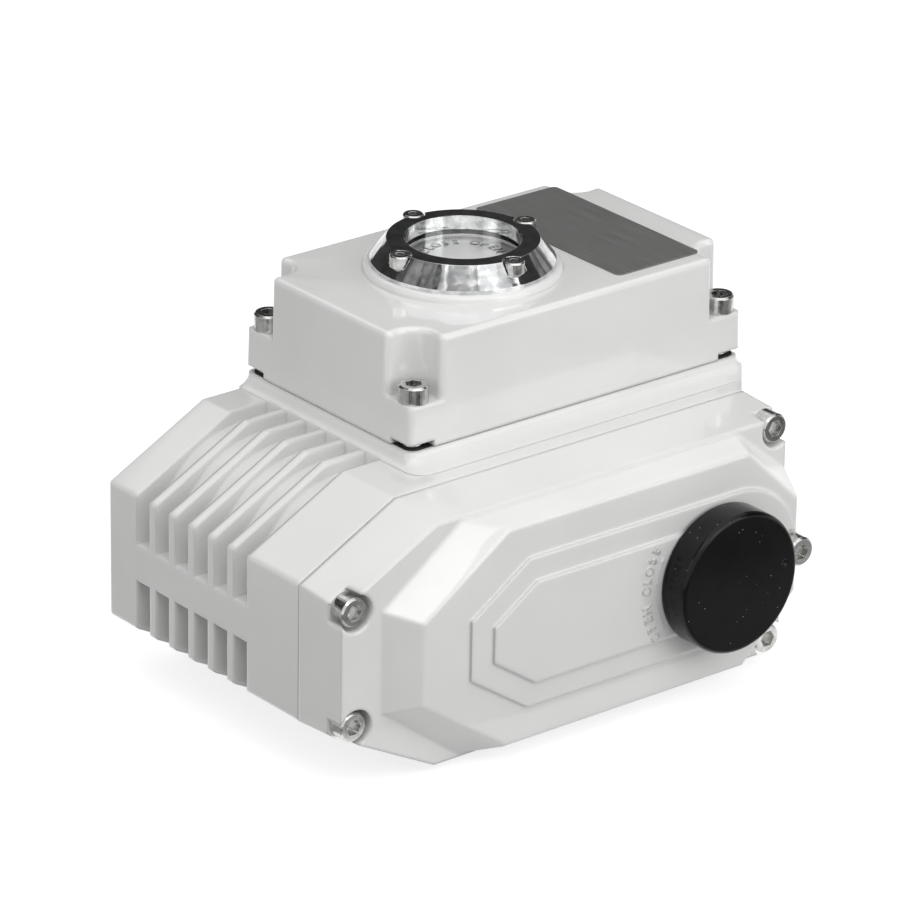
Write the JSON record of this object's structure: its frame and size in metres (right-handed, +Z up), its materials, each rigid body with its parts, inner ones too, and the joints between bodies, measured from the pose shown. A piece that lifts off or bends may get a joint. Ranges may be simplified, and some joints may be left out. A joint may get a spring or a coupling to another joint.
{
  "type": "electric quarter-turn valve actuator",
  "caption": "Compact electric quarter-turn valve actuator with a finned motor end, stepped front cover, hand knob and a round position window on its lid.",
  "frame": {"origin": "axis of the output shaft at the valve mounting face", "axes": "+X to the right along the front cover, +Y to the back, +Z up along the output shaft"},
  "size_m": [0.2184, 0.1464, 0.1391],
  "materials": {
    "cast_paint": "glossy light grey powder coat on die-cast aluminium",
    "knob_black": "glossy black",
    "ring_chrome": "polished plate",
    "stainless": "stainless screws",
    "gear_steel": "hardened and ground steel",
    "bronze": "cast bronze",
    "seal_rubber": "matte black",
    "clear_glass": "clear",
    "brushed_plate": "brushed plate",
    "bare_aluminium": "machined",
    "lamination": "stacked laminations",
    "copper_wire": "enamelled copper",
    "magnet": "bonded magnet",
    "black_plastic": "moulded",
    "red_plastic": "moulded",
    "green_board": "laminate board",
    "grey_plastic": "moulded",
    "nickel_brass": "nickel plated"
  },
  "bodies": {
    "housing": {"body_casting": "cast_paint", "front_cover": "cast_paint", "front_gasket": "seal_rubber", "front_cover_screws": "stainless", "front_cover_long_screw": "stainless", "top_lid": "cast_paint", "lid_gasket": "seal_rubber", "lid_screws": "stainless", "lid_plate": "brushed_plate", "window_ring": "ring_chrome", "window_ring_screws": "stainless", "sight_glass": "clear_glass", "window_seal": "seal_rubber", "output_lower_bush": "bronze", "output_upper_bush": "bronze", "bearing_plate": "bare_aluminium", "bearing_plate_screws": "stainless", "worm_rear_bearing": "gear_steel", "worm_front_bearing": "gear_steel", "worm_cover_bush": "bronze", "motor_stator": "lamination", "motor_windings": "copper_wire", "motor_rear_bearing": "gear_steel", "motor_front_bearing": "gear_steel", "motor_end_shield": "bare_aluminium", "end_shield_screws": "stainless", "gear_plate": "bare_aluminium", "gear_plate_screws": "stainless", "gear_axles": "gear_steel", "closed_limit_switch": "black_plastic", "open_limit_switch": "black_plastic", "switch_bracket": "bare_aluminium", "circuit_board": "green_board", "board_standoffs": "nickel_brass", "terminal_block": "grey_plastic", "terminal_screws": "stainless", "run_capacitor": "grey_plastic", "cable_gland": "nickel_brass", "gland_nut": "nickel_brass", "entry_washers": "seal_rubber", "blanking_plug": "nickel_brass"},
    "output": {"output_shaft": "gear_steel", "worm_wheel": "bronze", "wheel_key": "gear_steel", "closed_cam": "black_plastic", "open_cam": "black_plastic", "cam_spacers": "bronze", "dial_hub": "bare_aluminium", "indicator_dial": "brushed_plate"},
    "worm": {"worm_shaft": "gear_steel", "worm_gear": "gear_steel", "hand_knob": "knob_black", "knob_set_screw": "stainless"},
    "first_gear": {"first_intermediate_gear": "gear_steel"},
    "second_gear": {"second_intermediate_gear": "gear_steel"},
    "rotor": {"motor_shaft": "gear_steel", "motor_rotor": "magnet", "motor_pinion": "gear_steel"},
    "closed_plunger": {"closed_switch_plunger": "red_plastic"},
    "open_plunger": {"open_switch_plunger": "red_plastic"}
  },
  "joints": [
    {"name": "motor_turn", "type": "hinge", "parent": "housing", "child": "rotor", "pos_m": [-0.0675, -0.005, 0.0439], "axis": [0, 1, 0], "range_deg": [0, 56250]},
    {"name": "first_gear_turn", "type": "hinge", "parent": "housing", "child": "first_gear", "pos_m": [-0.03315, -0.06, 0.0506], "axis": [0, 1, 0], "range_deg": [-22500, 0]},
    {"name": "second_gear_turn", "type": "hinge", "parent": "housing", "child": "second_gear", "pos_m": [-0.00084, -0.066, 0.03714], "axis": [0, 1, 0], "range_deg": [0, 9000]},
    {"name": "worm_turn", "type": "hinge", "parent": "housing", "child": "worm", "pos_m": [0.0335, -0.03, 0.0439], "axis": [0, 1, 0], "range_deg": [-3600, 0]},
    {"name": "output_turn", "type": "hinge", "parent": "housing", "child": "output", "pos_m": [0, 0, 0.03], "axis": [0, 0, 1], "range_deg": [0, 90]},
    {"name": "closed_plunger_slide", "type": "slide", "parent": "housing", "child": "closed_plunger", "axis": [-1, 0, 0], "range_m": [0, 0.0016]},
    {"name": "open_plunger_slide", "type": "slide", "parent": "housing", "child": "open_plunger", "axis": [1, 0, 0], "range_m": [0, 0.0016]}
  ],
  "couplings": [
    {"joint": "first_gear_turn", "follows": "motor_turn", "ratio": -0.4},
    {"joint": "second_gear_turn", "follows": "motor_turn", "ratio": 0.16},
    {"joint": "worm_turn", "follows": "motor_turn", "ratio": -0.064},
    {"joint": "output_turn", "follows": "motor_turn", "ratio": 0.0016},
    {"joint": "closed_plunger_slide", "follows": "motor_turn", "m_per_rad": 0.0000016297},
    {"joint": "open_plunger_slide", "follows": "motor_turn", "m_per_rad": 0.0000016297}
  ]
}
